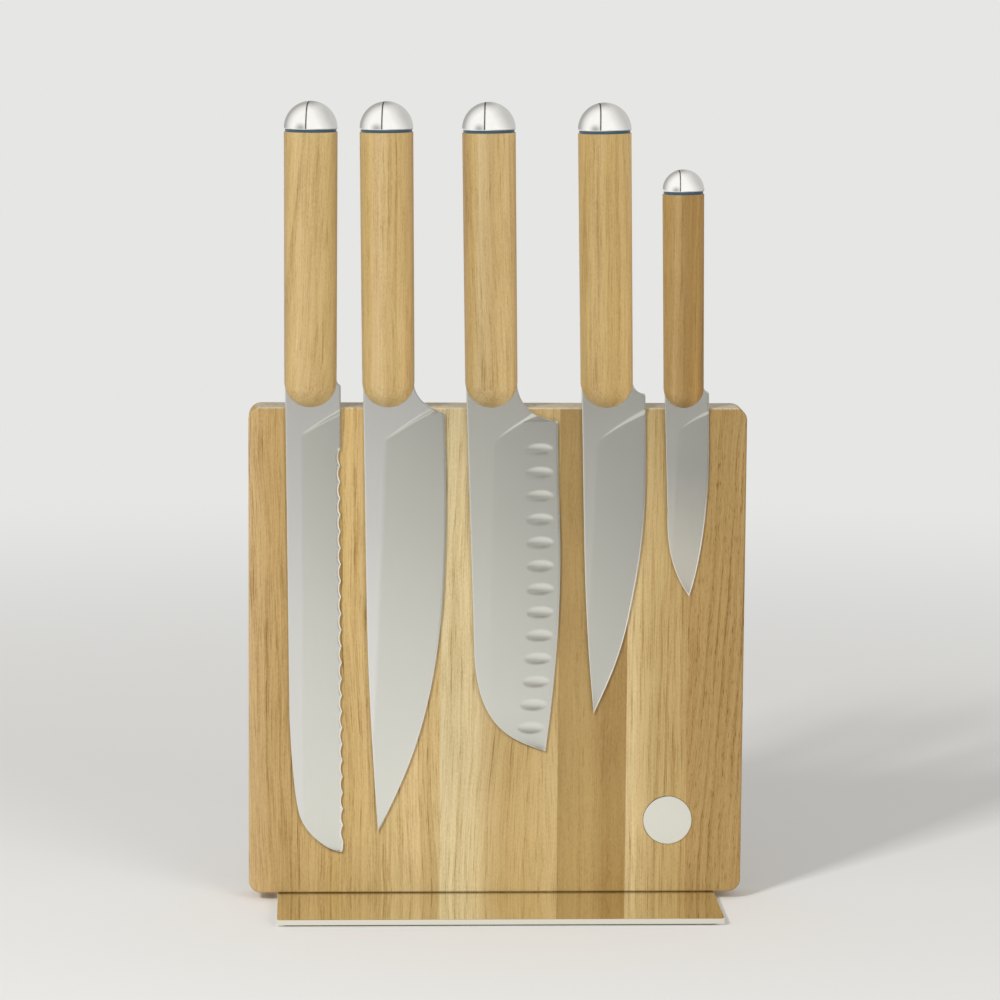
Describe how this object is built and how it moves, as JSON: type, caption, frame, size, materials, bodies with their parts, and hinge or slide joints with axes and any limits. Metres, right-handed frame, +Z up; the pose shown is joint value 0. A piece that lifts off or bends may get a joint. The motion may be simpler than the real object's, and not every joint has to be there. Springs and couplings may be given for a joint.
{
  "type": "magnetic knife stand",
  "caption": "Upright oak board on a polished steel plate that holds kitchen knives flat on its magnetic front face; round oak handles with domed metal caps.",
  "frame": {"origin": "middle of the footprint on the worktop: the middle of the board's width and of the base plate's depth, at the underside of the pad", "axes": "+Z up; -Y out of the face that carries the knives, towards the user; +X to the right as the user sees it"},
  "size_m": [0.237, 0.132, 0.3832],
  "materials": {
    "board_oak": "oiled oak, vertical grain, edge-glued staves of differing tone",
    "handle_oak": "oiled light oak, fine straight grain",
    "small_handle_oak": "oiled oak of a browner tone",
    "satin_steel": "fine satin, ground across the blade",
    "mirror_steel": "mirror-polished stainless steel",
    "polished_cap": "polished silver-coloured metal",
    "medal_steel": "fine matt metal, bare",
    "navy_plastic": "dark blue gloss",
    "pad_rubber": "matt black",
    "zinc_steel": "zinc plated",
    "insert_brass": "turned brass",
    "nickel_plate": "nickel plated"
  },
  "bodies": {
    "stand": {"base_plate": "mirror_steel", "base_pad": "pad_rubber", "base_screws": "zinc_steel", "threaded_inserts": "insert_brass", "front_stave_1": "board_oak", "front_stave_2": "board_oak", "front_stave_3": "board_oak", "front_stave_4": "board_oak", "front_stave_5": "board_oak", "rear_stave_1": "board_oak", "rear_stave_2": "board_oak", "rear_stave_3": "board_oak", "rear_stave_4": "board_oak", "magnets": "nickel_plate", "yoke_strips": "zinc_steel", "medallion": "medal_steel"},
    "bread_knife": {"bread_blade": "satin_steel", "bread_tang_rod": "zinc_steel", "bread_handle": "handle_oak", "bread_spacer_ring": "navy_plastic", "bread_end_cap": "polished_cap"},
    "chef_knife": {"chef_blade": "satin_steel", "chef_tang_rod": "zinc_steel", "chef_handle": "handle_oak", "chef_spacer_ring": "navy_plastic", "chef_end_cap": "polished_cap"},
    "santoku_knife": {"santoku_blade": "satin_steel", "santoku_tang_rod": "zinc_steel", "santoku_handle": "handle_oak", "santoku_spacer_ring": "navy_plastic", "santoku_end_cap": "polished_cap"},
    "utility_knife": {"utility_blade": "satin_steel", "utility_tang_rod": "zinc_steel", "utility_handle": "handle_oak", "utility_spacer_ring": "navy_plastic", "utility_end_cap": "polished_cap"},
    "paring_knife": {"paring_blade": "satin_steel", "paring_tang_rod": "zinc_steel", "paring_handle": "small_handle_oak", "paring_spacer_ring": "navy_plastic", "paring_end_cap": "polished_cap"}
  },
  "joints": [
    {"name": "bread_knife_lift", "type": "slide", "parent": "stand", "child": "bread_knife", "axis": [0, 0, 1], "range_m": [0, 0.225]},
    {"name": "chef_knife_lift", "type": "slide", "parent": "stand", "child": "chef_knife", "axis": [0, 0, 1], "range_m": [0, 0.215]},
    {"name": "santoku_knife_lift", "type": "slide", "parent": "stand", "child": "santoku_knife", "axis": [0, 0, 1], "range_m": [0, 0.176]},
    {"name": "utility_knife_lift", "type": "slide", "parent": "stand", "child": "utility_knife", "axis": [0, 0, 1], "range_m": [0, 0.157]},
    {"name": "paring_knife_lift", "type": "slide", "parent": "stand", "child": "paring_knife", "axis": [0, 0, 1], "range_m": [0, 0.1]}
  ]
}
